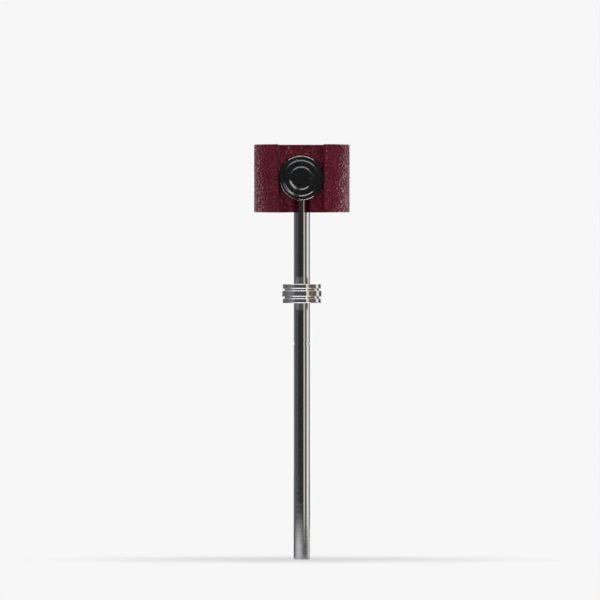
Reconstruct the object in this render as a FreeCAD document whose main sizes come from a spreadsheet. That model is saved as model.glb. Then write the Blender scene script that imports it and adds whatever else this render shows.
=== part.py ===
import FreeCAD, Part

import math
import os

import Sketcher

# Bass drum beater: a hard plastic core on a chromed shaft, set in the channel of a foam rubber head,
# with a memory lock on the shaft. +Z runs up the shaft from its lower end, which is the origin.
# The stepped striking face looks to -Y.

doc = FreeCAD.newDocument("BassDrumBeater")

# Driving dimensions, in millimetres
SIZES = {
    "overall_length": 200.0,
    "seat_clearance": 0.02,
    "running_clearance": 0.06,
    # shaft
    "shaft_diameter": 7.94,
    "shaft_bevel": 0.4,
    "shaft_rise": 6.5,
    "index_ring_height": 104.0,
    "index_ring_width": 0.8,
    "index_ring_depth": 0.25,
    # spring pin through core and shaft
    "pin_diameter": 3.0,
    "pin_wall": 0.55,
    "pin_slot": 0.8,
    "pin_inset": 0.8,
    # foam head
    "foam_diameter": 46.2,
    "foam_height": 32.8,
    "foam_edge_bevel": 0.5,
    "channel_clearance": 0.2,
    "spigot_clearance": 0.3,
    "adjust_travel": 2.5,
    "travel_clearance": 0.3,
    # core
    "core_diameter": 21.5,
    "core_back": 6.5,
    "core_back_bevel": 0.6,
    "face_recess": 2.4,
    "rim_round": 0.6,
    "outer_step_diameter": 17.0,
    "inner_step_diameter": 10.7,
    "step_width": 1.0,
    "step_height": 0.5,
    "spigot_diameter": 12.0,
    "spigot_length": 7.6,
    # threaded insert in the core's spigot
    "insert_diameter": 8.4,
    "insert_length": 8.6,
    # adjusting screw and its washer
    "screw_diameter": 6.0,
    "screw_head_diameter": 10.5,
    "screw_head_height": 3.2,
    "screw_head_land": 0.7,
    "screw_head_flat": 5.6,
    "screw_socket_width": 4.0,
    "screw_socket_depth": 2.0,
    "washer_diameter": 18.0,
    "washer_thickness": 1.2,
    "washer_bevel": 0.3,
    "washer_hole_clearance": 0.2,
    "washer_pocket_clearance": 0.6,
    "washer_recess": 5.0,
    # memory lock and its screw
    "lock_drop": 34.5,
    "lock_height": 9.2,
    "lock_belt_diameter": 19.4,
    "lock_band_diameter": 18.8,
    "lock_band_height": 1.9,
    "lock_groove_width": 0.9,
    "lock_groove_depth": 0.9,
    "lock_bevel": 0.35,
    "lock_screw_diameter": 5.0,
    "lock_screw_gap": 0.1,
    "lock_screw_bevel": 0.5,
    "lock_screw_flange_diameter": 7.6,
    "lock_screw_flange_height": 1.4,
    "lock_screw_square": 5.4,
    "lock_screw_square_height": 6.4,
    "lock_screw_square_bevel": 0.5,
}

sheet = doc.addObject("Spreadsheet::Sheet", "Size")
for row, (alias, value) in enumerate(SIZES.items(), start=1):
    sheet.set(f"A{row}", alias)
    sheet.set(f"B{row}", str(value))
    sheet.setAlias(f"B{row}", alias)

gauge = doc.addObject("App::FeaturePython", "Gauge")
gauge.addProperty("App::PropertyFloat", "Reading")
doc.recompute()


def reading(expression):
    """The present value of an expression in the sheet's sizes."""
    gauge.setExpression("Reading", expression)
    gauge.recompute()
    return gauge.Reading


def new_body(label, height):
    """A body whose origin lies on the shaft's axis at the given height."""
    body = doc.addObject("PartDesign::Body", label)
    body.Label = label
    body.setExpression("Placement.Base.z", height)
    return body


def new_sketch(body, role, offset="0"):
    """A sketch on one of the body's own planes, moved along that plane's normal."""
    sketch = body.newObject("Sketcher::SketchObject", f"{body.Label}_sketch")
    plane = next(p for p in body.Origin.OriginFeatures if p.Role == role)
    sketch.AttachmentSupport = [(plane, "")]
    sketch.MapMode = "FlatFace"
    sketch.setExpression("AttachmentOffset.Base.z", offset)
    return sketch


def bind(sketch, kind, geometry, position, expression):
    """Hold one coordinate of a point to an expression, or on the axis where that is zero."""
    if expression == "0":
        axis = -2 if kind == "DistanceX" else -1
        sketch.addConstraint(Sketcher.Constraint("PointOnObject", geometry, position, axis))
        return
    value = reading(expression)
    index = sketch.addConstraint(Sketcher.Constraint(kind, -1, 1, geometry, position, value))
    sketch.setExpression(f"Constraints[{index}]", expression)


def outline(sketch, points, arcs=None):
    """A closed outline through points written as pairs of expressions.

    arcs maps the number of a segment to its centre's two expressions and its turn: 1 is
    anticlockwise from its first point, -1 is clockwise.
    """
    arcs = arcs or {}
    places = [FreeCAD.Vector(reading(x), reading(y), 0) for x, y in points]
    starts = []
    ends = []
    for segment, first in enumerate(places):
        last = places[(segment + 1) % len(places)]
        if segment not in arcs:
            sketch.addGeometry(Part.LineSegment(first, last))
            starts.append(1)
            ends.append(2)
            continue
        across, along, turn = arcs[segment]
        centre = FreeCAD.Vector(reading(across), reading(along), 0)
        tail, head = (first, last) if turn > 0 else (last, first)
        angles = [math.atan2(p.y - centre.y, p.x - centre.x) for p in (tail, head)]
        circle = Part.Circle(centre, FreeCAD.Vector(0, 0, 1), tail.distanceToPoint(centre))
        sweep = (angles[1] - angles[0]) % (2 * math.pi)
        sketch.addGeometry(Part.ArcOfCircle(circle, angles[0], angles[0] + sweep))
        starts.append(1 if turn > 0 else 2)
        ends.append(2 if turn > 0 else 1)
    for segment, (x, y) in enumerate(points):
        following = (segment + 1) % len(points)
        joint = (segment, ends[segment], following, starts[following])
        sketch.addConstraint(Sketcher.Constraint("Coincident", *joint))
        bind(sketch, "DistanceX", segment, starts[segment], x)
        bind(sketch, "DistanceY", segment, starts[segment], y)
    for segment, (across, along, turn) in arcs.items():
        chord = places[(segment + 1) % len(places)] - places[segment]
        level = abs(chord.x) >= abs(chord.y)
        bind(sketch, "DistanceY" if level else "DistanceX", segment, 3, along if level else across)


def disc(sketch, radius):
    """A circle round the sketch's origin."""
    circle = Part.Circle(FreeCAD.Vector(0, 0, 0), FreeCAD.Vector(0, 0, 1), reading(radius))
    sketch.addGeometry(circle)
    sketch.addConstraint(Sketcher.Constraint("Coincident", 0, 3, -1, 1))
    index = sketch.addConstraint(Sketcher.Constraint("Radius", 0, reading(radius)))
    sketch.setExpression(f"Constraints[{index}]", radius)


def revolve(body, sketch):
    """Turn a half outline about its sketch's upright axis."""
    feature = body.newObject("PartDesign::Revolution", f"{body.Label}_turned")
    feature.Profile = sketch
    feature.ReferenceAxis = (sketch, ["V_Axis"])
    doc.recompute()
    return feature


def cut_through(body, sketch, sides="One side"):
    """Cut a sketch's area from its plane through everything on one side, or on both."""
    feature = body.newObject("PartDesign::Pocket", f"{body.Label}_cut")
    feature.Profile = sketch
    feature.Type = "ThroughAll"
    feature.SideType = sides
    before = feature.BaseFeature.Shape.Volume
    doc.recompute()
    if feature.Shape.Volume >= before:
        raise ValueError(f"a cut in {body.Label} took nothing away")
    return feature


def flat_faces(feature, normal, likeness=1e-6):
    """Names of a feature's flat faces that look along a direction."""
    names = []
    for number, face in enumerate(feature.Shape.Faces, start=1):
        flat = isinstance(face.Surface, Part.Plane)
        if flat and face.normalAt(0, 0).isEqual(normal, likeness):
            names.append(f"Face{number}")
    return names


# Shared seats, worked out from the sizes
HEAD_HEIGHT = "Size.overall_length - Size.foam_height / 2"
LOCK_CENTRE = "Size.overall_length - Size.foam_height - Size.lock_drop - Size.lock_height / 2"
SHAFT_RADIUS = "Size.shaft_diameter / 2"
CORE_RADIUS = "Size.core_diameter / 2"
CHANNEL_HALF = f"({CORE_RADIUS} + Size.channel_clearance)"
WING_TIP = f"sqrt((Size.foam_diameter / 2)^2 - {CHANNEL_HALF}^2)"
STRIKING_FACE = f"-({WING_TIP} - Size.face_recess)"
CHANNEL_FLOOR = "(Size.core_back + Size.adjust_travel + Size.travel_clearance)"
WASHER_SEAT = "(Size.foam_diameter / 2 - Size.washer_recess)"
SCREW_SEAT = f"({WASHER_SEAT} + Size.washer_thickness)"
SPIGOT_END = "(Size.core_back + Size.spigot_length)"
INSERT_FLOOR = f"({SPIGOT_END} - Size.insert_length)"
PIN_RADIUS = "Size.pin_diameter / 2"


# Shaft: a straight chromed steel rod, bevelled at both ends, with one turned height mark and a
# cross hole for the spring pin.
shaft = new_body("shaft", "0")
SHAFT_TOP = f"({HEAD_HEIGHT} + Size.shaft_rise)"
SHAFT_NECK = f"({SHAFT_RADIUS} - Size.shaft_bevel)"
MARK_FOOT = "(Size.index_ring_height - Size.index_ring_width / 2)"
MARK_TOP = "(Size.index_ring_height + Size.index_ring_width / 2)"
MARK_RADIUS = f"({SHAFT_RADIUS} - Size.index_ring_depth)"
shaft_half = new_sketch(shaft, "XZ_Plane")
outline(
    shaft_half,
    [
        ("0", "0"),
        (SHAFT_NECK, "0"),
        (SHAFT_RADIUS, "Size.shaft_bevel"),
        (SHAFT_RADIUS, MARK_FOOT),
        (MARK_RADIUS, MARK_FOOT),
        (MARK_RADIUS, MARK_TOP),
        (SHAFT_RADIUS, MARK_TOP),
        (SHAFT_RADIUS, f"{SHAFT_TOP} - Size.shaft_bevel"),
        (SHAFT_NECK, SHAFT_TOP),
        ("0", SHAFT_TOP),
    ],
)
revolve(shaft, shaft_half)
shaft_hole = new_sketch(shaft, "YZ_Plane")
shaft_hole.setExpression("AttachmentOffset.Base.y", HEAD_HEIGHT)
disc(shaft_hole, f"{PIN_RADIUS} + Size.seat_clearance")
cut_through(shaft, shaft_hole, "Symmetric")


# Core: a moulded barrel of hard plastic. Its face has a rounded rim and rises in two round steps to
# a bare middle, and its back has a spigot that guides the foam and holds the threaded insert.
core = new_body("core", HEAD_HEIGHT)
RIM_INNER = f"({CORE_RADIUS} - Size.rim_round)"
MIDDLE_FACE = f"({STRIKING_FACE} + Size.step_height)"
RIM_FACE = f"({MIDDLE_FACE} + Size.step_height)"
RIM_BACK = f"({RIM_FACE} + Size.rim_round)"
OUTER_STEP = "Size.outer_step_diameter / 2"
INNER_STEP = "Size.inner_step_diameter / 2"
SPIGOT_RADIUS = "Size.spigot_diameter / 2"
INSERT_BORE = "(Size.insert_diameter / 2 + Size.seat_clearance)"
core_half = new_sketch(core, "XY_Plane")
outline(
    core_half,
    [
        ("0", STRIKING_FACE),
        (f"{INNER_STEP} - Size.step_width / 2", STRIKING_FACE),
        (f"{INNER_STEP} + Size.step_width / 2", MIDDLE_FACE),
        (f"{OUTER_STEP} - Size.step_width / 2", MIDDLE_FACE),
        (f"{OUTER_STEP} + Size.step_width / 2", RIM_FACE),
        (RIM_INNER, RIM_FACE),
        (CORE_RADIUS, RIM_BACK),
        (CORE_RADIUS, "Size.core_back - Size.core_back_bevel"),
        (f"{CORE_RADIUS} - Size.core_back_bevel", "Size.core_back"),
        (SPIGOT_RADIUS, "Size.core_back"),
        (SPIGOT_RADIUS, SPIGOT_END),
        (INSERT_BORE, SPIGOT_END),
        (INSERT_BORE, INSERT_FLOOR),
        ("0", INSERT_FLOOR),
    ],
    {5: (RIM_INNER, RIM_BACK, 1)},
)
revolve(core, core_half)
core_socket = new_sketch(core, "XY_Plane", "Size.shaft_rise + Size.seat_clearance")
disc(core_socket, f"{SHAFT_RADIUS} + Size.seat_clearance")
cut_through(core, core_socket)
core_hole = new_sketch(core, "YZ_Plane")
disc(core_hole, f"{PIN_RADIUS} + Size.seat_clearance")
cut_through(core, core_hole, "Symmetric")


# Spring pin: rolled steel strip, open along one side, driven through core and shaft.
shaft_pin = new_body("shaft_pin", HEAD_HEIGHT)
PIN_BORE = f"({PIN_RADIUS} - Size.pin_wall)"
SLOT_HALF = "Size.pin_slot / 2"
SLOT_OUTER = f"sqrt(({PIN_RADIUS})^2 - ({SLOT_HALF})^2)"
SLOT_INNER = f"sqrt({PIN_BORE}^2 - ({SLOT_HALF})^2)"
pin_section = new_sketch(shaft_pin, "YZ_Plane")
outline(
    pin_section,
    [
        (SLOT_HALF, SLOT_OUTER),
        (SLOT_HALF, SLOT_INNER),
        (f"-({SLOT_HALF})", SLOT_INNER),
        (f"-({SLOT_HALF})", SLOT_OUTER),
    ],
    {1: ("0", "0", -1), 3: ("0", "0", 1)},
)
pin_strip = shaft_pin.newObject("PartDesign::Pad", "shaft_pin_rolled")
pin_strip.Profile = pin_section
pin_strip.SideType = "Symmetric"
pin_strip.setExpression("Length", "Size.core_diameter - 2 * Size.pin_inset")
doc.recompute()


# Threaded insert: a turned brass bush, pressed into the spigot's end.
core_insert = new_body("core_insert", HEAD_HEIGHT)
INSERT_RADIUS = "Size.insert_diameter / 2"
THREAD_RADIUS = "(Size.screw_diameter / 2 + Size.running_clearance)"
insert_half = new_sketch(core_insert, "XY_Plane")
outline(
    insert_half,
    [
        (THREAD_RADIUS, INSERT_FLOOR),
        (INSERT_RADIUS, INSERT_FLOOR),
        (INSERT_RADIUS, SPIGOT_END),
        (THREAD_RADIUS, SPIGOT_END),
    ],
)
revolve(core_insert, insert_half)


# Foam head: a round block of foam rubber on the shaft's axis. A channel, open at the front, top and
# bottom, takes the core between two wings. The web behind it has a bore and a washer pocket.
foam_head = new_body("foam_head", HEAD_HEIGHT)
foam_plan = new_sketch(foam_head, "XY_Plane")
outline(
    foam_plan,
    [
        (CHANNEL_HALF, f"-{WING_TIP}"),
        (CHANNEL_HALF, CHANNEL_FLOOR),
        (f"-{CHANNEL_HALF}", CHANNEL_FLOOR),
        (f"-{CHANNEL_HALF}", f"-{WING_TIP}"),
    ],
    {3: ("0", "0", -1)},
)
foam_block = foam_head.newObject("PartDesign::Pad", "foam_head_block")
foam_block.Profile = foam_plan
foam_block.SideType = "Symmetric"
foam_block.setExpression("Length", "Size.foam_height")
doc.recompute()
foam_edges = foam_head.newObject("PartDesign::Chamfer", "foam_head_edges")
upward = FreeCAD.Vector(0, 0, 1)
foam_edges.Base = (foam_block, flat_faces(foam_block, upward) + flat_faces(foam_block, -upward))
foam_edges.setExpression("Size", "Size.foam_edge_bevel")
doc.recompute()
foam_bore = new_sketch(foam_head, "XZ_Plane")
disc(foam_bore, f"{SPIGOT_RADIUS} + Size.spigot_clearance")
cut_through(foam_head, foam_bore)
foam_pocket = new_sketch(foam_head, "XZ_Plane", f"-{WASHER_SEAT}")
disc(foam_pocket, "Size.washer_diameter / 2 + Size.washer_pocket_clearance")
cut_through(foam_head, foam_pocket)


# Washer: a wide stamped disc with one bevelled edge, in the pocket at the back of the foam.
foam_washer = new_body("foam_washer", HEAD_HEIGHT)
WASHER_RADIUS = "Size.washer_diameter / 2"
WASHER_HOLE = "(Size.screw_diameter / 2 + Size.washer_hole_clearance)"
washer_half = new_sketch(foam_washer, "XY_Plane")
outline(
    washer_half,
    [
        (WASHER_HOLE, WASHER_SEAT),
        (WASHER_RADIUS, WASHER_SEAT),
        (WASHER_RADIUS, f"{SCREW_SEAT} - Size.washer_bevel"),
        (f"{WASHER_RADIUS} - Size.washer_bevel", SCREW_SEAT),
        (WASHER_HOLE, SCREW_SEAT),
    ],
)
revolve(foam_washer, washer_half)


# Adjusting screw: a button-headed machine screw with a hexagon socket.
adjusting_screw = new_body("adjusting_screw", HEAD_HEIGHT)
SCREW_RADIUS = "Size.screw_diameter / 2"
SCREW_TIP = f"({INSERT_FLOOR} + Size.adjust_travel + Size.travel_clearance)"
HEAD_RADIUS = "Size.screw_head_diameter / 2"
HEAD_FLAT = "Size.screw_head_flat / 2"
HEAD_SHOULDER = f"({SCREW_SEAT} + Size.screw_head_land)"
HEAD_TOP = f"({SCREW_SEAT} + Size.screw_head_height)"
screw_half = new_sketch(adjusting_screw, "XY_Plane")
outline(
    screw_half,
    [
        ("0", SCREW_TIP),
        (SCREW_RADIUS, SCREW_TIP),
        (SCREW_RADIUS, SCREW_SEAT),
        (HEAD_RADIUS, SCREW_SEAT),
        (HEAD_RADIUS, HEAD_SHOULDER),
        (HEAD_FLAT, HEAD_TOP),
        ("0", HEAD_TOP),
    ],
)
revolve(adjusting_screw, screw_half)
HEX_FLAT = "Size.screw_socket_width / 2"
HEX_CORNER = "Size.screw_socket_width / sqrt(3)"
screw_socket = new_sketch(adjusting_screw, "XZ_Plane", f"-{HEAD_TOP}")
outline(
    screw_socket,
    [
        (HEX_CORNER, "0"),
        (f"{HEX_CORNER} / 2", HEX_FLAT),
        (f"-{HEX_CORNER} / 2", HEX_FLAT),
        (f"-{HEX_CORNER}", "0"),
        (f"-{HEX_CORNER} / 2", f"-{HEX_FLAT}"),
        (f"{HEX_CORNER} / 2", f"-{HEX_FLAT}"),
    ],
)
screw_recess = adjusting_screw.newObject("PartDesign::Pocket", "adjusting_screw_socket")
screw_recess.Profile = screw_socket
screw_recess.Reversed = True
screw_recess.setExpression("Length", "Size.screw_socket_depth")
doc.recompute()


# Memory lock: a turned and chromed collar of three bands with a round groove between each two. The
# middle band stands out a little, and a threaded hole goes through its back.
memory_lock = new_body("memory_lock", LOCK_CENTRE)
LOCK_HALF = "Size.lock_height / 2"
LOCK_BORE = f"({SHAFT_RADIUS} + Size.running_clearance)"
BAND_RADIUS = "Size.lock_band_diameter / 2"
BELT_RADIUS = "Size.lock_belt_diameter / 2"
BAND_EDGE = f"({LOCK_HALF} - Size.lock_bevel - Size.lock_band_height)"
BELT_EDGE = f"({BAND_EDGE} - Size.lock_groove_width)"
GROOVE_RADIUS = f"({BAND_RADIUS} - Size.lock_groove_depth)"
lock_half = new_sketch(memory_lock, "XZ_Plane")
outline(
    lock_half,
    [
        (f"{LOCK_BORE} + Size.lock_bevel", f"-{LOCK_HALF}"),
        (f"{BAND_RADIUS} - Size.lock_bevel", f"-{LOCK_HALF}"),
        (BAND_RADIUS, f"-({LOCK_HALF} - Size.lock_bevel)"),
        (BAND_RADIUS, f"-{BAND_EDGE}"),
        (GROOVE_RADIUS, f"-{BAND_EDGE}"),
        (GROOVE_RADIUS, f"-{BELT_EDGE}"),
        (BELT_RADIUS, f"-{BELT_EDGE}"),
        (BELT_RADIUS, BELT_EDGE),
        (GROOVE_RADIUS, BELT_EDGE),
        (GROOVE_RADIUS, BAND_EDGE),
        (BAND_RADIUS, BAND_EDGE),
        (BAND_RADIUS, f"{LOCK_HALF} - Size.lock_bevel"),
        (f"{BAND_RADIUS} - Size.lock_bevel", LOCK_HALF),
        (f"{LOCK_BORE} + Size.lock_bevel", LOCK_HALF),
        (LOCK_BORE, f"{LOCK_HALF} - Size.lock_bevel"),
        (LOCK_BORE, f"-({LOCK_HALF} - Size.lock_bevel)"),
    ],
)
revolve(memory_lock, lock_half)
lock_hole = new_sketch(memory_lock, "XZ_Plane")
disc(lock_hole, "Size.lock_screw_diameter / 2 + Size.running_clearance")
cut_through(memory_lock, lock_hole)


# Memory lock screw: a key screw with a round flange and a square head, whose tip bears on the shaft.
lock_screw = new_body("memory_lock_screw", LOCK_CENTRE)
LOCK_SCREW_RADIUS = "Size.lock_screw_diameter / 2"
LOCK_SCREW_TIP = f"({SHAFT_RADIUS} + Size.lock_screw_gap)"
FLANGE_FOOT = f"({BELT_RADIUS} + Size.running_clearance)"
FLANGE_TOP = f"({FLANGE_FOOT} + Size.lock_screw_flange_height)"
FLANGE_RADIUS = "Size.lock_screw_flange_diameter / 2"
SQUARE_HALF = "Size.lock_screw_square / 2"
lock_screw_half = new_sketch(lock_screw, "XY_Plane")
outline(
    lock_screw_half,
    [
        ("0", LOCK_SCREW_TIP),
        (f"{LOCK_SCREW_RADIUS} - Size.lock_screw_bevel", LOCK_SCREW_TIP),
        (LOCK_SCREW_RADIUS, f"{LOCK_SCREW_TIP} + Size.lock_screw_bevel"),
        (LOCK_SCREW_RADIUS, FLANGE_FOOT),
        (FLANGE_RADIUS, FLANGE_FOOT),
        (FLANGE_RADIUS, FLANGE_TOP),
        ("0", FLANGE_TOP),
    ],
)
revolve(lock_screw, lock_screw_half)
square_plan = new_sketch(lock_screw, "XZ_Plane", f"-{FLANGE_TOP}")
outline(
    square_plan,
    [
        (SQUARE_HALF, SQUARE_HALF),
        (f"-{SQUARE_HALF}", SQUARE_HALF),
        (f"-{SQUARE_HALF}", f"-{SQUARE_HALF}"),
        (SQUARE_HALF, f"-{SQUARE_HALF}"),
    ],
)
square_head = lock_screw.newObject("PartDesign::Pad", "memory_lock_screw_square")
square_head.Profile = square_plan
square_head.Reversed = True
square_head.setExpression("Length", "Size.lock_screw_square_height")
doc.recompute()
square_bevel = lock_screw.newObject("PartDesign::Chamfer", "memory_lock_screw_bevel")
backward = FreeCAD.Vector(0, 1, 0)
end_faces = flat_faces(square_head, backward)
end_face = max(end_faces, key=lambda name: square_head.Shape.getElement(name).CenterOfMass.y)
square_bevel.Base = (square_head, [end_face])
square_bevel.setExpression("Size", "Size.lock_screw_square_bevel")
doc.recompute()


doc.removeObject(gauge.Name)
doc.recompute()

# Every object has to be sound before a file is written
for item in doc.Objects:
    if "Invalid" in item.State or "Error" in item.State:
        raise ValueError(f"{item.Label} failed: {item.State}")

pieces = [item for item in doc.Objects if item.TypeId == "PartDesign::Body"]
for piece in pieces:
    if piece.Shape.isNull() or not piece.Shape.isValid() or len(piece.Shape.Solids) != 1:
        raise ValueError(f"{piece.Label} is not one sound solid")

os.makedirs("parts", exist_ok=True)
for piece in pieces:
    piece.Shape.exportStep(f"parts/{piece.Label}.step")
    print(f"{piece.Label}: {piece.Shape.Volume:.1f} mm3")
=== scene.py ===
import itertools
import math

import bmesh
import bpy
import numpy as np
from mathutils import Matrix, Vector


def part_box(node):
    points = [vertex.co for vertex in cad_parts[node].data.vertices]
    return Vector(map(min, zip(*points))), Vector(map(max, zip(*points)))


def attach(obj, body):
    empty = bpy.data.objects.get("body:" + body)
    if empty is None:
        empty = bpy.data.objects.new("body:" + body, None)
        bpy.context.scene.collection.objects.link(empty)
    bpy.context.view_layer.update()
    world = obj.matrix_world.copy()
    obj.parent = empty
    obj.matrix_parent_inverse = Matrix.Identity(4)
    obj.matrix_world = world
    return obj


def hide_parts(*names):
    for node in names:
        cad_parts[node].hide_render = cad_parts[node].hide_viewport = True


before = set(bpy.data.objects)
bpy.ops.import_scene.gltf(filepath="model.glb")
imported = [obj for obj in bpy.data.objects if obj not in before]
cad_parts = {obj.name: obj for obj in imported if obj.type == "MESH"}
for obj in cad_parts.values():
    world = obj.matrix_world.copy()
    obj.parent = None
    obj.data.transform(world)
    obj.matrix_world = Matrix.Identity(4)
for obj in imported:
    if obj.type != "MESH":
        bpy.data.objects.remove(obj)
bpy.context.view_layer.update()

# Core: the hard barrel that strikes the drum once the foam gives way. It is injection moulded in black
# plastic. Its face has a round rim and rises in two soft steps to a bare middle, and its back has a
# spigot. The shaft's socket is moulded from below, and the pin hole is drilled across.
MM = 0.001
core_low, core_high = (np.array(corner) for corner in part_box("core"))
core_axis_height = (core_low[2] + core_high[2]) / 2
core_radius = (core_high[0] - core_low[0]) / 2
core_step_height = 0.5 * MM
core_step_radii = (5.35 * MM, 8.5 * MM)
core_step_half_width = 0.55 * MM
core_rim_round = 0.6 * MM
core_side_start = 1.0 * MM
core_corner_ease = 0.35 * MM
core_back = 6.5 * MM
spigot_radius = 6.0 * MM
insert_bore_radius = 4.22 * MM
insert_bore_floor = 5.5 * MM
socket_radius = 3.99 * MM
socket_end = 6.52 * MM
pin_hole_radius = 1.52 * MM
core_black = (0.0115, 0.0115, 0.0122, 1.0)
core_dust = (0.034, 0.034, 0.035, 1.0)
core_grain_depth = 0.004 * MM


def surface_piece(name, points, around=True, sharp=35.0):
    """Piece made of a grid of points, rows by columns: each four neighbours share a face.

    With around, the last column joins the first. Rows that shrink to one point are closed, and faces
    that meet at more than the sharp angle, in degrees, keep a crisp edge.
    """
    rows, columns = points.shape[:2]
    index = np.arange(rows * columns).reshape(rows, columns)
    if around:
        index = np.concatenate([index, index[:, :1]], axis=1)
    corners = np.stack([index[:-1, :-1], index[:-1, 1:], index[1:, 1:], index[1:, :-1]], axis=-1)
    faces = corners.reshape(-1, 4)
    mesh = bpy.data.meshes.new(name)
    mesh.vertices.add(rows * columns)
    mesh.vertices.foreach_set("co", points.astype(np.float32).ravel())
    mesh.loops.add(faces.size)
    mesh.loops.foreach_set("vertex_index", faces.astype(np.int32).ravel())
    mesh.polygons.add(len(faces))
    mesh.polygons.foreach_set("loop_start", np.arange(0, faces.size, 4, dtype=np.int32))
    mesh.update(calc_edges=True)
    shell = bmesh.new()
    shell.from_mesh(mesh)
    bmesh.ops.remove_doubles(shell, verts=shell.verts, dist=1e-7)
    bmesh.ops.recalc_face_normals(shell, faces=shell.faces)
    shell.to_mesh(mesh)
    shell.free()
    mesh.shade_smooth()
    mesh.set_sharp_from_angle(angle=math.radians(sharp))
    piece = bpy.data.objects.new(name, mesh)
    bpy.context.scene.collection.objects.link(piece)
    return piece


def turned_on_y(radius, along, height, columns):
    """Points of a shape turned about a level axis at that height.

    Each row lies at one place along +Y. It is a circle of one radius round the axis, or an outline with a
    radius for each column.
    """
    angle = np.linspace(0, 2 * np.pi, columns, endpoint=False)
    radius = np.reshape(radius, (len(along), -1))
    across = radius * np.cos(angle)
    up = height + radius * np.sin(angle)
    return np.stack([across, np.broadcast_to(along[:, None], across.shape), up], axis=-1)


def turned_on_z(radius, height, columns):
    """Points of a shape turned about the shaft's axis: each row is a circle of one radius at one height."""
    return turned_on_y(radius, height, 0.0, columns)[..., [0, 2, 1]]


def turned_on_x(radius, along, height, columns):
    """Points of a shape turned about a level axis that runs along +X at that height."""
    return turned_on_y(radius, along, height, columns)[..., [1, 0, 2]]


def eased_corners(corners, ease, steps=6):
    """Profile through the corners, with each inner corner eased by a quadratic curve.

    The curve starts and ends the ease's length from its corner, or half a side where that is shorter,
    and the corner is its middle control point. The ease is one length, or one for each inner corner.
    """
    corners = np.array(corners, dtype=float)
    side = np.diff(corners, axis=0)
    length = np.linalg.norm(side, axis=1)
    reach = np.minimum(ease, np.minimum(length[:-1], length[1:]) / 2)[:, None]
    first = corners[1:-1] - side[:-1] / length[:-1, None] * reach
    last = corners[1:-1] + side[1:] / length[1:, None] * reach
    t = np.linspace(0, 1, steps)[None, :, None]
    curve = (1 - t) ** 2 * first[:, None] + 2 * t * (1 - t) * corners[1:-1, None] + t**2 * last[:, None]
    return np.vstack([corners[:1], curve.reshape(-1, 2), corners[-1:]])


def core_profile(face_rows=190, rim_rows=18):
    """Radius and place along Y of the barrel's outline, from the middle of its face to its bore's floor.

    Each step down from the middle is half a sine wave over its width, the lands between the steps are
    flat, and the rim is a quarter circle.
    """
    r = np.linspace(0, core_radius - core_rim_round, face_rows)
    y = np.full_like(r, core_low[1])
    for step in core_step_radii:
        part = np.clip((r - step) / core_step_half_width, -1, 1)
        y += core_step_height * (1 + np.sin(part * np.pi / 2)) / 2
    turn = np.linspace(0, np.pi / 2, rim_rows)[1:]
    rim_r = core_radius - core_rim_round * (1 - np.sin(turn))
    rim_y = y[-1] + core_rim_round * (1 - np.cos(turn))
    tail = eased_corners(
        [
            (core_radius, rim_y[-1] + core_side_start),
            (core_radius, core_back),
            (spigot_radius, core_back),
            (spigot_radius, core_high[1]),
            (insert_bore_radius, core_high[1]),
            (insert_bore_radius, insert_bore_floor),
            (0, insert_bore_floor),
        ],
        core_corner_ease,
    )
    return np.concatenate([r, rim_r, tail[:, 0]]), np.concatenate([y, rim_y, tail[:, 1]])


def plain_bore(radius, start, end):
    """Radius and place along its axis of a round hole's outline, closed by flat ends."""
    return np.array([0, radius, radius, 0]), np.array([start, start, end, end])


def cut_away(piece, *cutters, sharp=35.0, seam=5e-7):
    """The piece less what lies inside each cutter, which is used up. Points of the cut that are closer than
    the seam become one."""
    for cutter in cutters:
        cut = piece.modifiers.new("cut", "BOOLEAN")
        cut.operation = "DIFFERENCE"
        cut.solver = "EXACT"
        cut.object = cutter
    bpy.context.view_layer.update()
    whole = piece.data
    graph = bpy.context.evaluated_depsgraph_get()
    piece.data = bpy.data.meshes.new_from_object(piece.evaluated_get(graph))
    piece.modifiers.clear()
    piece.data.name = whole.name
    bpy.data.meshes.remove(whole)
    shell = bmesh.new()
    shell.from_mesh(piece.data)
    bmesh.ops.remove_doubles(shell, verts=shell.verts, dist=seam)
    shell.to_mesh(piece.data)
    shell.free()
    for cutter in cutters:
        bpy.data.meshes.remove(cutter.data)
    piece.data.shade_smooth()
    piece.data.set_sharp_from_angle(angle=math.radians(sharp))


core_piece = surface_piece("core_moulding", turned_on_y(*core_profile(), core_axis_height, 180))
socket_line = plain_bore(socket_radius, core_axis_height - 2 * core_radius, core_axis_height + socket_end)
socket = surface_piece("socket", turned_on_z(*socket_line, 96))
pin_hole_line = plain_bore(pin_hole_radius, -2 * core_radius, 2 * core_radius)
pin_hole = surface_piece("pin_hole", turned_on_x(*pin_hole_line, core_axis_height, 48))
cut_away(core_piece, socket, pin_hole)
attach(core_piece, "shaft_and_core")
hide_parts("core")


def add_node(tree, kind, inputs=None, **options):
    """One shader node. inputs maps a socket's name or number to a value or to another node's output."""
    made = tree.nodes.new(kind)
    for option, value in options.items():
        setattr(made, option, value)
    for socket, value in (inputs or {}).items():
        if isinstance(value, bpy.types.NodeSocket):
            tree.links.new(value, made.inputs[socket])
        else:
            made.inputs[socket].default_value = value
    return made


def work_out(tree, operation, *values):
    """Outcome of one sum on plain values or other nodes' outputs."""
    return add_node(tree, "ShaderNodeMath", dict(enumerate(values)), operation=operation).outputs[0]


def carry_over(tree, value, low, high, first, last, way="LINEAR"):
    """The value's place between low and high, carried over to the same place between first and last."""
    inputs = {0: value, 1: low, 2: high, 3: first, 4: last}
    return add_node(tree, "ShaderNodeMapRange", inputs, interpolation_type=way).outputs[0]


def colour_between(tree, share, first, last):
    """Colour at a share of the way from the first colour to the last."""
    mix = add_node(tree, "ShaderNodeMix", {0: share, 6: first, 7: last}, data_type="RGBA")
    return mix.outputs[2]


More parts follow.
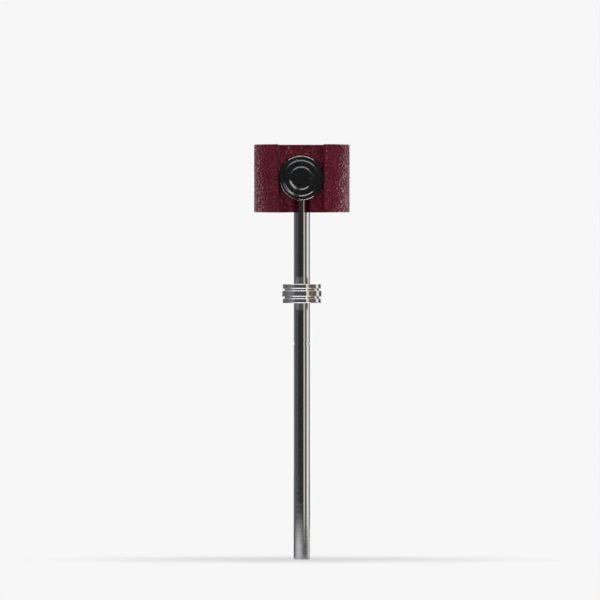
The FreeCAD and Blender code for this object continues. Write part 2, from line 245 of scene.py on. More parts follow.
def smooth_noise(tree, vector, scale, detail, roughness=0.5):
    """Smooth random value from 0 to 1 with that many cells to the unit, and finer layers over it."""
    inputs = {"Vector": vector, "Scale": scale, "Detail": detail, "Roughness": roughness}
    return add_node(tree, "ShaderNodeTexNoise", inputs).outputs[0]


def new_group(name, takes, gives):
    """An empty node group with float or vector sockets, and its input and output nodes."""
    kinds = {"value": "NodeSocketFloat", "vector": "NodeSocketVector"}
    tree = bpy.data.node_groups.new(name, "ShaderNodeTree")
    for socket, kind in takes.items():
        tree.interface.new_socket(socket, in_out="INPUT", socket_type=kinds[kind])
    for socket, kind in gives.items():
        tree.interface.new_socket(socket, in_out="OUTPUT", socket_type=kinds[kind])
    return tree, tree.nodes.new("NodeGroupInput").outputs, tree.nodes.new("NodeGroupOutput").inputs


# Marks that a hand, a cloth or a tool leaves: noise at two sizes gives a roughness between two values
# and a height for a bump.
broad_share = 0.07
marks_low, marks_high = 0.12, 0.42
marks, taken, given = new_group(
    "fine_marks",
    {"Vector": "vector", "Scale": "value", "Smooth": "value", "Rough": "value"},
    {"Roughness": "value", "Height": "value"},
)
fine = smooth_noise(marks, taken["Vector"], taken["Scale"], 4.0, 0.6)
broad_scale = work_out(marks, "MULTIPLY", taken["Scale"], broad_share)
broad = smooth_noise(marks, taken["Vector"], broad_scale, 2.0)
both = work_out(marks, "MULTIPLY", fine, broad)
spread = carry_over(marks, both, marks_low, marks_high, taken["Smooth"], taken["Rough"])
marks.links.new(spread, given["Roughness"])
marks.links.new(fine, given["Height"])

# Dust: thin scattered specks, each a small round spot in its own cell.
speck_edge = 0.06
dust, taken, given = new_group(
    "dust_specks", {"Vector": "vector", "Scale": "value", "Size": "value"}, {"Mask": "value"}
)
cell_inputs = {"Vector": taken["Vector"], "Scale": taken["Scale"]}
cells = add_node(dust, "ShaderNodeTexVoronoi", cell_inputs).outputs
picked = add_node(dust, "ShaderNodeSeparateColor", {0: cells["Color"]})
speck_size = work_out(dust, "MULTIPLY", picked.outputs[0], taken["Size"])
inside = work_out(dust, "SUBTRACT", speck_size, cells["Distance"])
dust.links.new(carry_over(dust, inside, 0.0, speck_edge, 0.0, 1.0), given["Mask"])


def new_finish(name):
    """A material with its node tree, its main shader and the piece's own coordinates."""
    material = bpy.data.materials.new(name)
    material.use_nodes = True
    tree = material.node_tree
    place = tree.nodes.new("ShaderNodeTexCoord").outputs["Object"]
    return material, tree, tree.nodes["Principled BSDF"], place


def place_group(tree, group, inputs):
    """Outputs of one use of a node group in a material, with its own values."""
    return add_node(tree, "ShaderNodeGroup", inputs, node_tree=group).outputs


def set_bump(tree, shader, height, distance, strength=1.0):
    """Feed a height into the shader's normal; distance is the height's size in metres."""
    bump = add_node(tree, "ShaderNodeBump", {"Height": height, "Distance": distance, "Strength": strength})
    tree.links.new(bump.outputs[0], shader.inputs["Normal"])


core_finish, tree, shader, place = new_finish("moulded_black_plastic")
grain = place_group(tree, marks, {"Vector": place, "Scale": 2600.0, "Smooth": 0.05, "Rough": 0.10})
specks = place_group(tree, dust, {"Vector": place, "Scale": 620.0, "Size": 0.12})
tree.links.new(colour_between(tree, specks["Mask"], core_black, core_dust), shader.inputs["Base Color"])
tree.links.new(grain["Roughness"], shader.inputs["Roughness"])
set_bump(tree, shader, grain["Height"], core_grain_depth)
shader.inputs["Specular IOR Level"].default_value = 0.5
core_piece.data.materials.append(core_finish)

# Shaft: straight steel rod, ground, polished and chrome plated, with bevelled ends and one turned height
# mark. It stands in the core's socket and is held there by the spring pin.
chrome_tints = (0.80, 0.80, 0.81, 1.0), (0.70, 0.70, 0.72, 1.0)
chrome_line_depth = 0.002 * MM
chrome_line_strength = 0.6


def metal_finish(name, tints, grain, roughness, depth, strength=1.0):
    """Bare or plated metal with fine marks, which shift its tint and its roughness between two ends.

    grain is the number of marks to the metre along X, Y and Z, and unequal numbers draw the marks out into
    lines. depth is their height, and strength is how much of it shows.
    """
    material, tree, shader, place = new_finish(name)
    drawn = add_node(tree, "ShaderNodeMapping", {0: place, 3: grain}).outputs[0]
    smooth, rough = roughness
    lines = place_group(tree, marks, {"Vector": drawn, "Scale": 1.0, "Smooth": smooth, "Rough": rough})
    tree.links.new(colour_between(tree, lines["Height"], *tints), shader.inputs["Base Color"])
    tree.links.new(lines["Roughness"], shader.inputs["Roughness"])
    shader.inputs["Metallic"].default_value = 1.0
    set_bump(tree, shader, lines["Height"], depth, strength)
    return material


def chrome_finish(name, along, across, smooth, rough):
    """Chrome plate: a mirror with faint polishing lines round the axis, and slightly duller where handled.

    along and across scale the marks with and round the axis.
    """
    grain = across, across, along
    return metal_finish(name, chrome_tints, grain, (smooth, rough), chrome_line_depth, chrome_line_strength)


def dress(node, material):
    """Give a loaded piece a material in place of the plain one that it came with."""
    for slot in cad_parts[node].material_slots:
        slot.material = material


dress("shaft", chrome_finish("polished_chrome", along=3200.0, across=260.0, smooth=0.035, rough=0.11))

# Spring pin: a strip of spring steel, rolled into an open tube and hardened, which leaves a blue-grey
# scale. It is driven through core and shaft and holds them together by its own spring.
pin_tints = (0.16, 0.16, 0.18, 1.0), (0.40, 0.39, 0.38, 1.0)
pin_grain = (1800.0, 1800.0, 1800.0)
pin_scale_depth = 0.01 * MM
dress("shaft_pin", metal_finish("rolled_spring_steel", pin_tints, pin_grain, (0.28, 0.5), pin_scale_depth))

# Threaded insert: a turned brass bush that holds the adjusting screw's thread, with fine rings from the
# lathe. It is pressed into the end of the core's spigot.
brass_tints = (0.66, 0.47, 0.18, 1.0), (0.45, 0.31, 0.11, 1.0)
brass_grain = (150.0, 5200.0, 150.0)
lathe_depth = 0.01 * MM
dress("core_insert", metal_finish("turned_brass", brass_tints, brass_grain, (0.18, 0.4), lathe_depth))

# Foam head: a round block of maroon foam rubber, cut with a blade, so its faces are matt and a little
# ragged. A channel down its front takes the core. A bore and a pocket at its back take the spigot and
# the washer.
foam_low, foam_high = (np.array(corner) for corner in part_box("foam_head"))
foam_radius = (foam_high[0] - foam_low[0]) / 2
foam_half_height = (foam_high[2] - foam_low[2]) / 2
foam_arc = 5.3
foam_edge = 0.5 * MM
foam_spacing = 0.42 * MM
channel_half = 10.95 * MM
channel_floor = 9.3 * MM
channel_corner = 0.8 * MM
tip_deep = -math.sqrt(foam_radius**2 - channel_half**2)
tip_round = 0.8 * MM
bore_radius = 6.3 * MM
bore_start = channel_floor - 6 * MM
pocket_radius = 9.6 * MM
pocket_floor = 18.1 * MM
pocket_end = foam_radius + 4 * MM
foam_press = 0.22 * MM
pore_spacing = 0.75 * MM
small_pore_spacing = 0.4 * MM
small_pore_share = 0.6
blade_wave_spacing = 5 * MM
foam_maroon = (0.160, 0.0205, 0.0350, 1.0)
foam_dark = (0.048, 0.0050, 0.0090, 1.0)
# Pale colour of the foam's lint specks and of the painted sheen on the wings' outer sides
foam_lint_and_sheen = (0.54, 0.40, 0.41, 1.0)
foam_sheen = (0.85, 0.62, 0.65, 1.0)
foam_bump = 0.14 * MM
blade_grain = (1900.0, 1900.0, 90.0)
blade_share = 0.6
mottle_low, mottle_high = 0.38, 0.64
# Painted sheen on the wings' outer sides: its shift to the right, its lean to the foot, where it starts and
# is full, and its fade to the back
sheen_shift = 0.3 * MM
sheen_lean = 0.08
sheen_start = 0.62 * foam_radius
sheen_full = 1.0 * foam_radius
sheen_front = -0.2 * foam_radius
sheen_back = 0.35 * foam_radius
sheen_at_back = 0.3
streak_lean = 0.35
streak_size = (0.6 * MM, 0.6 * MM, 1.2 * MM)
# How far the painted sheen pushes streaks and flecks towards pale, and the range over which lint and
# painted sheen turn pale
sheen_streak_push = 0.16
sheen_fleck_push = 0.11
lint_sheen_low, lint_sheen_high = 0.68, 0.83


def along_line(corners, count):
    """Evenly spaced points along a run of straight lines."""
    corners = np.array(corners, dtype=float)
    step = np.linalg.norm(np.diff(corners, axis=0), axis=1)
    far = np.concatenate([[0], np.cumsum(step)])
    t = np.linspace(0, far[-1], count)
    return np.stack([np.interp(t, far, corners[:, axis]) for axis in (0, 1)], axis=-1)


def foam_plan(count):
    """Plan of the foam from one wing tip round the back to the other: points on its outer arc and, beside
    each, a point on the channel's walls and floor, both evenly spaced along their own lines."""
    tip_angle = math.atan2(tip_deep, channel_half)
    ease = tip_round / foam_radius
    angle = np.linspace(tip_angle + ease, np.pi - tip_angle - ease, count)
    outer = foam_radius * np.stack([np.cos(angle), np.sin(angle)], axis=-1)
    wall = eased_corners(
        [
            (channel_half, tip_deep + tip_round),
            (channel_half, channel_floor),
            (-channel_half, channel_floor),
            (-channel_half, tip_deep + tip_round),
        ],
        channel_corner,
    )
    return outer, along_line(wall, count)


def foam_block(face_rows=12, edge_rows=5):
    """Grid over the whole block. A row is the closed outline, outer arc and back along the channel.

    Rows run from the middle line of the lower face out to its edge, up the walls and in over the upper
    face. On the faces a row is drawn from the outline towards the middle line between arc and channel,
    and at the edges rows follow a small quarter circle.
    """
    columns = int(foam_radius * foam_arc / foam_spacing)
    outer, inner = foam_plan(columns)
    middle = (outer + inner) / 2
    outline = np.concatenate([outer, inner[::-1]])
    spine = np.concatenate([middle, middle[::-1]])
    inward = spine - outline
    room = np.linalg.norm(inward, axis=1, keepdims=True)
    turn = np.linspace(0, np.pi / 2, edge_rows)
    lip = np.minimum(foam_edge / np.maximum(room, 1e-9), 0.5)
    inner_share = np.linspace(1, 0, face_rows + 1)[:-1]
    face_share = lip + (1 - lip) * inner_share[:, None, None]
    edge_share = lip * (1 - np.sin(turn))[:, None, None]
    edge_height = -foam_half_height + foam_edge * (1 - np.cos(turn))
    wall_height = np.arange(edge_height[-1] + foam_spacing, -edge_height[-1], foam_spacing)
    share = np.concatenate(
        [
            face_share,
            edge_share,
            np.zeros((len(wall_height), len(outline), 1)),
            edge_share[::-1],
            face_share[::-1],
        ]
    )
    height = np.concatenate(
        [
            np.full(face_rows, -foam_half_height),
            edge_height,
            wall_height,
            -edge_height[::-1],
            np.full(face_rows, foam_half_height),
        ]
    )
    plan = outline[None] + inward[None] * share
    level = np.broadcast_to((core_axis_height + height)[:, None, None], (*share.shape[:2], 1))
    return np.concatenate([plan, level], axis=-1)


def lattice_noise(points, spacing, seed):
    """Smooth random value from -1 to 1 at each point: random numbers on a cubic lattice of that spacing,
    blended between the eight corners round the point."""
    place = points / spacing
    cell = np.floor(place).astype(np.int64)
    part = place - cell
    part = part * part * (3 - 2 * part)
    table = np.random.default_rng(seed).uniform(-1, 1, 8192)
    total = np.zeros(len(points))
    for corner in itertools.product((0, 1), repeat=3):
        at = cell + np.array(corner)
        mixed = at[:, 0] * 73856093 ^ at[:, 1] * 19349663 ^ at[:, 2] * 83492791
        weight = np.where(np.array(corner) == 1, part, 1 - part).prod(axis=1)
        total += weight * table[mixed % len(table)]
    return total


def roughen(piece, depth):
    """Press a cut foam texture into a piece along its normals, never outwards: open pores, and slow waves
    from the blade. It fades out towards the wing tips, where the faces are smaller than the pores."""
    mesh = piece.data
    place = np.empty(len(mesh.vertices) * 3)
    mesh.vertices.foreach_get("co", place)
    place = place.reshape(-1, 3)
    normal = np.empty(len(mesh.vertices) * 3)
    mesh.vertex_normals.foreach_get("vector", normal)
    normal = normal.reshape(-1, 3)
    pores = lattice_noise(place, pore_spacing, seed=11)
    pores += small_pore_share * lattice_noise(place, small_pore_spacing, seed=12)
    waves = lattice_noise(place, blade_wave_spacing, seed=13)
    from_tip = np.hypot(np.abs(place[:, 0]) - channel_half, place[:, 1] - tip_deep)
    fade = np.clip(from_tip / tip_round - 1, 0, 1)
    press = fade * depth * (np.clip(0.5 + 0.5 * pores, 0, 1) + 0.5 * (1 + waves)) / 2
    mesh.vertices.foreach_set("co", (place - normal * press[:, None]).ravel())
    mesh.update()


foam_piece = surface_piece("foam_block", foam_block(), sharp=70.0)
roughen(foam_piece, foam_press)
hollow = along_line(
    [
        (0, bore_start),
        (bore_radius, bore_start),
        (bore_radius, pocket_floor),
        (pocket_radius, pocket_floor),
        (pocket_radius, pocket_end),
        (0, pocket_end),
    ],
    110,
)
hollow_points = turned_on_y(hollow[:, 0], hollow[:, 1], core_axis_height, 120)
cut_away(foam_piece, surface_piece("hollow", hollow_points, sharp=70.0), sharp=70.0)
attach(foam_piece, "foam")
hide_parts("foam_head")

foam_finish, tree, shader, place = new_finish("cut_foam_rubber")
mottle = smooth_noise(tree, place, 900.0, 6.0, 0.7)
shade = carry_over(tree, mottle, mottle_low, mottle_high, 0.0, 1.0)
maroon = colour_between(tree, shade, foam_dark, foam_maroon)

# Painted sheen: the outer sides of the wings are painted pale in streaks and flecks for light grazing the
# foam's nap.
# It is a little heavier on the right, heavier towards the foot and lighter towards the back. Elsewhere the
# same flecks stay sparse pale lint, the foam's own.
axes = add_node(tree, "ShaderNodeSeparateXYZ", {0: place}).outputs
sideways = work_out(tree, "ABSOLUTE", work_out(tree, "ADD", axes["X"], sheen_shift))
below = work_out(tree, "SUBTRACT", core_axis_height, axes["Z"])
sheen_reach = work_out(tree, "MULTIPLY_ADD", below, sheen_lean, sideways)
sheen_sides = carry_over(tree, sheen_reach, sheen_start, sheen_full, 0.0, 1.0, "SMOOTHSTEP")
towards_back = carry_over(tree, axes["Y"], sheen_front, sheen_back, 1.0, sheen_at_back, "SMOOTHSTEP")
painted_sheen = work_out(tree, "MULTIPLY", sheen_sides, towards_back)
streak_turn = {0: place, 2: (0.0, streak_lean, 0.0), 3: streak_size}
streak_way = add_node(tree, "ShaderNodeMapping", streak_turn, vector_type="TEXTURE").outputs[0]
streaks = smooth_noise(tree, streak_way, 1.0, 2.0, 0.55)
flecks = smooth_noise(tree, place, 1250.0, 2.0, 0.6)
pushed_streaks = work_out(tree, "MULTIPLY_ADD", painted_sheen, sheen_streak_push, streaks)
pushed_flecks = work_out(tree, "MULTIPLY_ADD", painted_sheen, sheen_fleck_push, flecks)
raised = work_out(tree, "MAXIMUM", pushed_streaks, pushed_flecks)
lint_and_sheen = carry_over(tree, raised, lint_sheen_low, lint_sheen_high, 0.0, 1.0)
# Lint specks and painted sheen pale the maroon here
tree.links.new(colour_between(tree, lint_and_sheen, maroon, foam_lint_and_sheen), shader.inputs["Base Color"])

shader.inputs["Roughness"].default_value = 0.95
shader.inputs["Specular IOR Level"].default_value = 0.06
shader.inputs["Sheen Weight"].default_value = 0.15
shader.inputs["Sheen Roughness"].default_value = 0.2
shader.inputs["Sheen Tint"].default_value = foam_sheen
pore_cells = {"Vector": place, "Scale": 2300.0, "Randomness": 1.0}
pores = add_node(tree, "ShaderNodeTexVoronoi", pore_cells, feature="F1").outputs["Distance"]
blade_way = add_node(tree, "ShaderNodeMapping", {0: place, 3: blade_grain}).outputs[0]
blade_lines = smooth_noise(tree, blade_way, 1.0, 2.0)
pore_depth = work_out(tree, "ADD", pores, mottle)
cut_depth = work_out(tree, "MULTIPLY_ADD", blade_lines, blade_share, pore_depth)
set_bump(tree, shader, cut_depth, foam_bump)
foam_piece.data.materials.append(foam_finish)

# Washer and adjusting screw: zinc plated steel. The washer is stamped, and the screw has a domed head with
# a hexagon socket and a rolled thread that runs into the brass insert.
screw_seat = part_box("foam_washer")[1][1]
screw_low, screw_high = (np.array(corner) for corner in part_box("adjusting_screw"))
screw_radius = 3.0 * MM
screw_pitch = 1.0 * MM
screw_thread_depth = 0.5 * MM
screw_plain = 1.6 * MM
head_radius = (screw_high[0] - screw_low[0]) / 2
head_land = 0.7 * MM
head_flat = 2.8 * MM
hex_half = 2.0 * MM
hex_depth = 2.0 * MM
hex_bevel = 0.25 * MM
hex_drill_point = 0.5 * MM
zinc_tints = (0.60, 0.61, 0.62, 1.0), (0.44, 0.44, 0.43, 1.0)
zinc_grain = (1500.0, 1500.0, 1500.0)
zinc_bath_depth = 0.012 * MM


def thread_rows(start, end, radius, pitch, depth, columns, rows_per_pitch=12, flank=2.6, flat=0.15):
    """Radius at each row and column of a screw thread, and its rows' places along the axis.

    The thread is a triangle wave of the place along the axis less the turn, clipped flat at crest and
    root, and it rises from the tip over one pitch.
    """
    along = np.arange(start, end, pitch / rows_per_pitch)
    turn = np.linspace(0, 1, columns, endpoint=False)
    phase = (along[:, None] / pitch - turn[None]) % 1
    wave = np.clip(np.abs(phase - 0.5) * flank - flat, 0, 1)
    lead = np.clip((along - start) / pitch, 0, 1)[:, None]
    return radius - depth * np.maximum(1 - lead, wave), along


def hexagon(half, columns):
    """Radius round a hexagon that is half that wide across its flats."""
    turn = np.linspace(0, 2 * np.pi, columns, endpoint=False)
    return half / np.cos(turn % (np.pi / 3) - np.pi / 6)


def run_of_rows(rows, columns):
    """Radius at each row and column, and the rows' places along the axis, from pairs of a place and its
    row's radius: one number, or one for each column."""
    along = np.array([place for place, _ in rows])
    return np.array([np.broadcast_to(radius, columns) for _, radius in rows]), along


def screw_points(columns=96, dome_rows=14):
    """Grid of the adjusting screw from its tip's middle to the floor of its socket.

    Rows are circles, apart from the thread, whose radius turns with it, and the socket, whose rows are
    hexagons. The dome is a quarter ellipse from the head's land to its flat top.
    """
    thread, thread_along = thread_rows(
        screw_low[1], screw_seat - screw_plain, screw_radius, screw_pitch, screw_thread_depth, columns
    )
    top = screw_high[1]
    turn = np.linspace(0, np.pi / 2, dome_rows)
    dome = head_flat + (head_radius - head_flat) * np.cos(turn)
    dome_along = screw_seat + head_land + (top - screw_seat - head_land) * np.sin(turn)
    socket = hexagon(hex_half, columns)
    rows = [
        (screw_low[1], 0),
        *zip(thread_along, thread),
        (screw_seat - screw_plain, screw_radius),
        (screw_seat, screw_radius),
        (screw_seat, head_radius),
        *zip(dome_along, dome),
        (top, socket + hex_bevel),
        (top - hex_bevel, socket),
        (top - hex_depth, socket),
        (top - hex_depth - hex_drill_point, 0),
    ]
    return turned_on_y(*run_of_rows(rows, columns), core_axis_height, columns)


screw_piece = surface_piece("adjusting_screw_threaded", screw_points())
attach(screw_piece, "adjuster")
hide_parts("adjusting_screw")
zinc_finish = metal_finish("zinc_plated_steel", zinc_tints, zinc_grain, (0.2, 0.42), zinc_bath_depth)
screw_piece.data.materials.append(zinc_finish)
dress("foam_washer", zinc_finish)

# Memory lock: a collar turned from steel bar and chrome plated, with two round grooves. It keeps the
# shaft's height in the pedal's clamp, and its key screw at the back holds it.
lock_low, lock_high = (np.array(corner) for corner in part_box("memory_lock"))
lock_middle = (lock_low[2] + lock_high[2]) / 2
lock_half = (lock_high[2] - lock_low[2]) / 2
lock_bore = 4.03 * MM
lock_belt_radius = 9.7 * MM
lock_band_radius = 9.4 * MM
lock_groove_radius = 8.5 * MM
lock_band_edge = 2.35 * MM
lock_belt_edge = 1.45 * MM
lock_bevel = 0.36 * MM
lock_groove_fillet = 0.08 * MM
lock_hole_radius = 2.56 * MM
lock_hole_end = 15 * MM


def lock_profile():
    """Radius and height of the collar's outline, mirrored about its middle. Its outer corners are eased by
    the bevel and the corners of its grooves' floors by a small fillet."""
    upper = [
        (lock_belt_radius, 0.0),
        (lock_belt_radius, lock_belt_edge),
        (lock_groove_radius, lock_belt_edge),
        (lock_groove_radius, lock_band_edge),
        (lock_band_radius, lock_band_edge),
        (lock_band_radius, lock_half),
        (lock_bore, lock_half),
        (lock_bore, 0.0),
    ]
    groove = [lock_groove_fillet] * 2
    half = eased_corners(upper, np.array([lock_bevel, *groove, lock_bevel, lock_bevel, lock_bevel]))
    whole = np.vstack([half, half[-2:0:-1] * (1, -1), half[:1]])
    return whole[:, 0], lock_middle + whole[:, 1]


lock_piece = surface_piece("memory_lock_collar", turned_on_z(*lock_profile(), 160))
lock_hole_line = plain_bore(lock_hole_radius, 0, lock_hole_end)
cut_away(lock_piece, surface_piece("lock_hole", turned_on_y(*lock_hole_line, lock_middle, 64)))
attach(lock_piece, "lock")
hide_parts("memory_lock")
lock_finish = chrome_finish("turned_chrome", along=2600.0, across=120.0, smooth=0.04, rough=0.10)
lock_piece.data.materials.append(lock_finish)

# Memory lock screw: a drum key screw, headed and threaded in one piece of steel and chrome plated. Its
# flange bears on the collar and its square head takes the key.
key_low, key_high = (np.array(corner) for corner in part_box("memory_lock_screw"))
key_radius = 2.5 * MM
key_pitch = 0.8 * MM
key_thread_depth = 0.4 * MM
key_flange_foot = lock_belt_radius + 0.06 * MM
key_flange_top = key_flange_foot + 1.4 * MM
key_flange_radius = (key_high[0] - key_low[0]) / 2
key_flange_bevel = 0.25 * MM
key_square_half = 2.7 * MM
key_square_bevel = 0.5 * MM


def rounded_square(half, columns, power=14.0):
    """Radius round a square with slightly rounded corners: a superellipse of a high power."""
    turn = np.linspace(0, 2 * np.pi, columns, endpoint=False)
    return half / (np.abs(np.cos(turn)) ** power + np.abs(np.sin(turn)) ** power) ** (1 / power)


def key_screw_points(columns=128):
    """Grid of the key screw from its tip's middle to its head's: a threaded shank, a round flange and a
    square head, each a run of rows."""
    thread, thread_along = thread_rows(
        key_low[1], key_flange_foot, key_radius, key_pitch, key_thread_depth, columns
    )
    square = rounded_square(key_square_half, columns)
    flange_face = key_flange_radius - key_flange_bevel
    top = key_high[1]
    rows = [
        (key_low[1], 0),
        *zip(thread_along, thread),
        (key_flange_foot, key_radius - key_thread_depth),
        (key_flange_foot, flange_face),
        (key_flange_foot + key_flange_bevel, key_flange_radius),
        (key_flange_top - key_flange_bevel, key_flange_radius),
        (key_flange_top, flange_face),
        (key_flange_top, square),
        (top - key_square_bevel, square),
        (top - key_square_bevel / 3, square - key_square_bevel / 3),
        (top, square - key_square_bevel),
        (top, 0),
    ]
    return turned_on_y(*run_of_rows(rows, columns), lock_middle, columns)


key_piece = surface_piece("memory_lock_key_screw", key_screw_points())
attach(key_piece, "lock_key_screw")
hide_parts("memory_lock_screw")
key_piece.data.materials.append(lock_finish)

# Studio: a pale floor that fades into a pale surround, a soft lamp in front and a weak one above, fills at
# the sides and back, and two small low lamps for the walls of the foam's channel. Polished surfaces see
# cards instead of lamps, and pale and dark bands on the floor.
scene = bpy.context.scene
surround = (0.93, 0.93, 0.93, 1.0)
ambient = (0.08, 0.08, 0.082, 1.0)
floor_colour = (0.90, 0.90, 0.90, 1.0)
floor_mirror_dark = (0.10, 0.10, 0.103, 1.0)
floor_mirror_pale = (0.62, 0.62, 0.62, 1.0)
floor_mirror_bands = 2
floor_rings = np.array([0.0, 0.1, 0.3, 0.8, 1.6, 4.0])
haze_at_part = 0.5
haze_full = 0.16


def studio_air(tree, mirrored):
    """Colour of the studio's air: the surround for the camera, its own colour for mirrors, and the ambient
    for light."""
    ray = add_node(tree, "ShaderNodeLightPath").outputs
    shown = work_out(tree, "MAXIMUM", ray["Is Camera Ray"], ray["Is Transmission Ray"])
    seen = colour_between(tree, shown, ambient, surround)
    return colour_between(tree, ray["Is Glossy Ray"], seen, mirrored)


world = bpy.data.worlds.new("studio_air")
scene.world = world
world.use_nodes = True
tree = world.node_tree
air = tree.nodes["Background"]
tree.links.new(studio_air(tree, surround), air.inputs["Color"])
air.inputs["Strength"].default_value = 1.0

floor = surface_piece("floor", turned_on_z(floor_rings, np.zeros(len(floor_rings)), 64))
floor_finish, tree, shader, place = new_finish("pale_floor")
shader.inputs["Base Color"].default_value = floor_colour
shader.inputs["Roughness"].default_value = 1.0
shader.inputs["Specular IOR Level"].default_value = 0.0
away = add_node(tree, "ShaderNodeVectorMath", {0: place}, operation="LENGTH").outputs["Value"]
fade = carry_over(tree, away, 0.0, haze_full, haze_at_part, 1.0, "SMOOTHSTEP")
bearing = add_node(tree, "ShaderNodeTexGradient", {0: place}, gradient_type="RADIAL").outputs["Fac"]
wave = work_out(tree, "SINE", work_out(tree, "MULTIPLY", bearing, floor_mirror_bands * 2 * math.pi))
band = carry_over(tree, wave, -1.0, 1.0, 0.0, 1.0)
mirrored = colour_between(tree, band, floor_mirror_dark, floor_mirror_pale)
haze_inputs = {"Color": studio_air(tree, mirrored), "Strength": 1.0}
haze = add_node(tree, "ShaderNodeEmission", haze_inputs).outputs[0]
blend = add_node(tree, "ShaderNodeMixShader", {0: fade, 1: shader.outputs[0], 2: haze})
tree.links.new(blend.outputs[0], tree.nodes["Material Output"].inputs["Surface"])
floor.data.materials.append(floor_finish)

head_place = (0, 0, core_axis_height)
face_place = (0, core_low[1], core_axis_height)


def soft_box(name, place, size, colour, radiance):
    """Area lamp at a place, turned to the head, whose face has the given radiance. Mirrors don't see it."""
    lamp = bpy.data.lights.new(name, "AREA")
    lamp.shape = "RECTANGLE"
    lamp.size, lamp.size_y = size
    lamp.color = colour
    lamp.energy = radiance * math.pi * size[0] * size[1]
    box = bpy.data.objects.new(name, lamp)
    scene.collection.objects.link(box)
    box.location = place
    away = np.array(place) - np.array(head_place)
    flat = math.hypot(away[0], away[1])
    box.rotation_euler = (math.atan2(flat, away[2]), 0, math.atan2(away[1], away[0]) + math.pi / 2)
    box.visible_camera = box.visible_glossy = False


soft_box("top_light", (0.5, -1.1, 0.95), (0.5, 0.4), (1.0, 0.99, 0.97), 4.5)
soft_box("front_light", (0.05, -2.0, 0.16), (0.26, 0.14), (1.0, 1.0, 1.0), 205.0)
soft_box("left_fill", (-1.0, 0.2, 0.4), (0.5, 0.8), (0.97, 0.98, 1.0), 1.6)
soft_box("right_fill", (1.0, 0.2, 0.4), (0.5, 0.8), (1.0, 0.97, 0.93), 2.0)
soft_box("low_left", (-0.25, 0.05, 0.03), (0.08, 0.08), (0.98, 0.99, 1.0), 22.0)
soft_box("low_right", (0.25, 0.05, 0.03), (0.08, 0.08), (1.0, 0.98, 0.96), 24.0)
soft_box("back_light", (0.0, 1.2, 0.7), (0.6, 0.5), (1.0, 1.0, 1.0), 4.0)


def mirror_card(name, points, colour, aim=None, reach=0.0, fade_out=1.2):
    """Card on a grid of points that glows in one colour, for mirrors only.

    With an aim its glow stays in a tube of that reach round it and fades to nothing at fade_out times the
    reach: a ray sees the card where the cross product of the ray's way and the way to the aim is short.
    """
    card = surface_piece(name, points, around=False)
    card.visible_camera = card.visible_diffuse = card.visible_shadow = False
    card.visible_transmission = False
    finish, tree, _, _ = new_finish(name)
    surface = add_node(tree, "ShaderNodeEmission", {"Color": (*colour, 1.0), "Strength": 1.0}).outputs[0]
    if aim:
        ray = add_node(tree, "ShaderNodeNewGeometry").outputs
        back = add_node(tree, "ShaderNodeVectorMath", {0: aim, 1: ray["Position"]}, operation="SUBTRACT")
        sides = {0: back.outputs[0], 1: ray["Incoming"]}
        side = add_node(tree, "ShaderNodeVectorMath", sides, operation="CROSS_PRODUCT")
        miss = add_node(tree, "ShaderNodeVectorMath", {0: side.outputs[0]}, operation="LENGTH")
        tube = carry_over(tree, miss.outputs["Value"], reach, fade_out * reach, 1.0, 0.0)
        clear = add_node(tree, "ShaderNodeBsdfTransparent").outputs[0]
        surface = add_node(tree, "ShaderNodeMixShader", {0: tube, 1: clear, 2: surface}).outputs[0]
    tree.links.new(surface, tree.nodes["Material Output"].inputs["Surface"])
    card.data.materials.append(finish)


def upright_card(start, end, distance=0.9, bottom=0.002, top=0.55, columns=24):
    """Grid of an upright card bent round the shaft from one bearing to another, in degrees to the right of
    the front."""
    bearing, height = np.meshgrid(np.radians(np.linspace(start, end, columns)), [bottom, top])
    return np.stack([distance * np.sin(bearing), -distance * np.cos(bearing), height], axis=-1)


def cone_card(aim, distance, first, last, near, far, oval=True):
    """Grid of a card at one distance from an aim: between two turns about the level line of sight through
    that aim, clockwise from above it, and between two angles off the line, in degrees.

    An oval card's breadth follows half an ellipse from end to end.
    """
    along, across = np.meshgrid(np.linspace(-1, 1, 25), np.linspace(-1, 1, 9))
    breadth = np.sqrt(1 - along**2) if oval else np.ones_like(along)
    turn = np.radians((first + last + (last - first) * along) / 2)
    off = np.radians((near + far + (far - near) * across * breadth) / 2)
    way = np.stack([np.sin(off) * np.sin(turn), -np.cos(off), np.sin(off) * np.cos(turn)], axis=-1)
    return np.array(aim) + distance * way


def floor_card(left, right, front, back, height=0.002):
    """Grid of a flat card just over the floor between two places across and two places deep."""
    across, deep = np.meshgrid([left, right], [front, back])
    return np.stack([across, deep, np.full_like(across, height)], axis=-1)


# Cards all round, which give the chrome its dark and pale stripes.
mirror_card("front_card", upright_card(-52, 26), (0.030, 0.030, 0.032))
mirror_card("left_card", upright_card(-100, -52), (0.085, 0.087, 0.092))
mirror_card("far_left_card", upright_card(-150, -100), (0.16, 0.16, 0.165))
mirror_card("warm_strip", upright_card(26, 41), (0.86, 0.75, 0.60))
mirror_card("brown_card", upright_card(41, 74), (0.18, 0.145, 0.105))
mirror_card("right_card", upright_card(74, 116), (0.90, 0.90, 0.90))
mirror_card("far_right_card", upright_card(116, 150), (0.12, 0.12, 0.12))

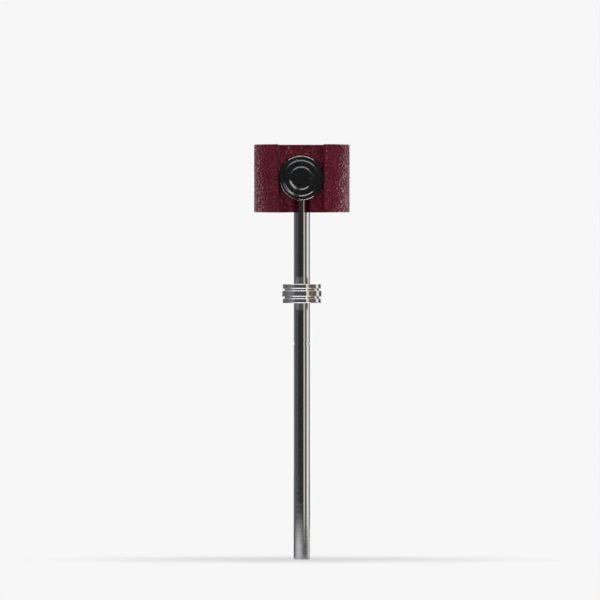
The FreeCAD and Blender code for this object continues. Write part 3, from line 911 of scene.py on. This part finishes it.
# Cards for the core's face alone, which light the flanks of its steps and its rim.
disc_aim = {"aim": face_place, "reach": 0.44 * core_radius}
mirror_card("step_top", cone_card(face_place, 0.7, -46, 48, 54, 76), (4.6, 4.9, 5.2), **disc_aim)
mirror_card("step_right", cone_card(face_place, 0.18, 138, 190, 54, 76), (8.0, 8.0, 8.0), **disc_aim)
mirror_card("step_left", cone_card(face_place, 0.2, 203, 262, 52, 76), (7.5, 7.5, 7.5), **disc_aim)
mirror_card("rim_top", cone_card(face_place, 0.7, -44, 46, 77, 105), (22.0, 22.0, 22.0), **disc_aim)
mirror_card("rim_right", cone_card(face_place, 0.18, 140, 192, 73, 82), (75.0, 75.0, 75.0), **disc_aim)
rim_aim = {"aim": face_place, "reach": 0.97 * core_radius}
mirror_card("rim_left", cone_card(face_place, 0.2, 204, 258, 14, 32), (15.0, 15.0, 15.0), **rim_aim)

# Cards for the collar alone, which light its bevels and soften the stripes on its belt.
lock_aim = {"aim": (0, 0, lock_middle), "reach": 1.4 * lock_belt_radius}
lock_top = cone_card(lock_aim["aim"], 0.9, -60, 30, 35, 85, oval=False)
mirror_card("lock_top", lock_top, (2.6, 2.6, 2.6), **lock_aim)
mirror_card("lock_foot", floor_card(-0.2, 0.2, -0.22, -0.06), (3.2, 3.2, 3.2), **lock_aim)
belt_aim = {"aim": (0, 0, lock_middle), "reach": 0.75 * lock_belt_radius}
mirror_card("lock_front", upright_card(-43, 22, 0.8), (0.095, 0.095, 0.098), **belt_aim)
mirror_card("lock_left", upright_card(-95, -43, 0.8), (0.20, 0.20, 0.205), **belt_aim)
mirror_card("lock_right", upright_card(70, 94, 0.8), (0.15, 0.115, 0.085), **belt_aim)

# Camera: far off with a long lens, level with the middle of the frame. It stands a little to the right of
# the front, as the disc lies a little to the left of the shaft's line in the photograph.
frame_width = 0.2892
camera_distance = 8.0
camera_bearing = math.radians(1.2)
camera_aim = np.array([-0.0009, 0.0, 0.125])
camera_data = bpy.data.cameras.new("camera")
camera_data.sensor_width = 36.0
camera_data.lens = camera_data.sensor_width * camera_distance / frame_width
camera = bpy.data.objects.new("camera", camera_data)
scene.collection.objects.link(camera)
camera_way = np.array([math.sin(camera_bearing), -math.cos(camera_bearing), 0.0])
camera.location = camera_aim + camera_distance * camera_way
camera.rotation_euler = (math.pi / 2, 0, camera_bearing)
scene.camera = camera
scene.view_settings.view_transform = "Standard"
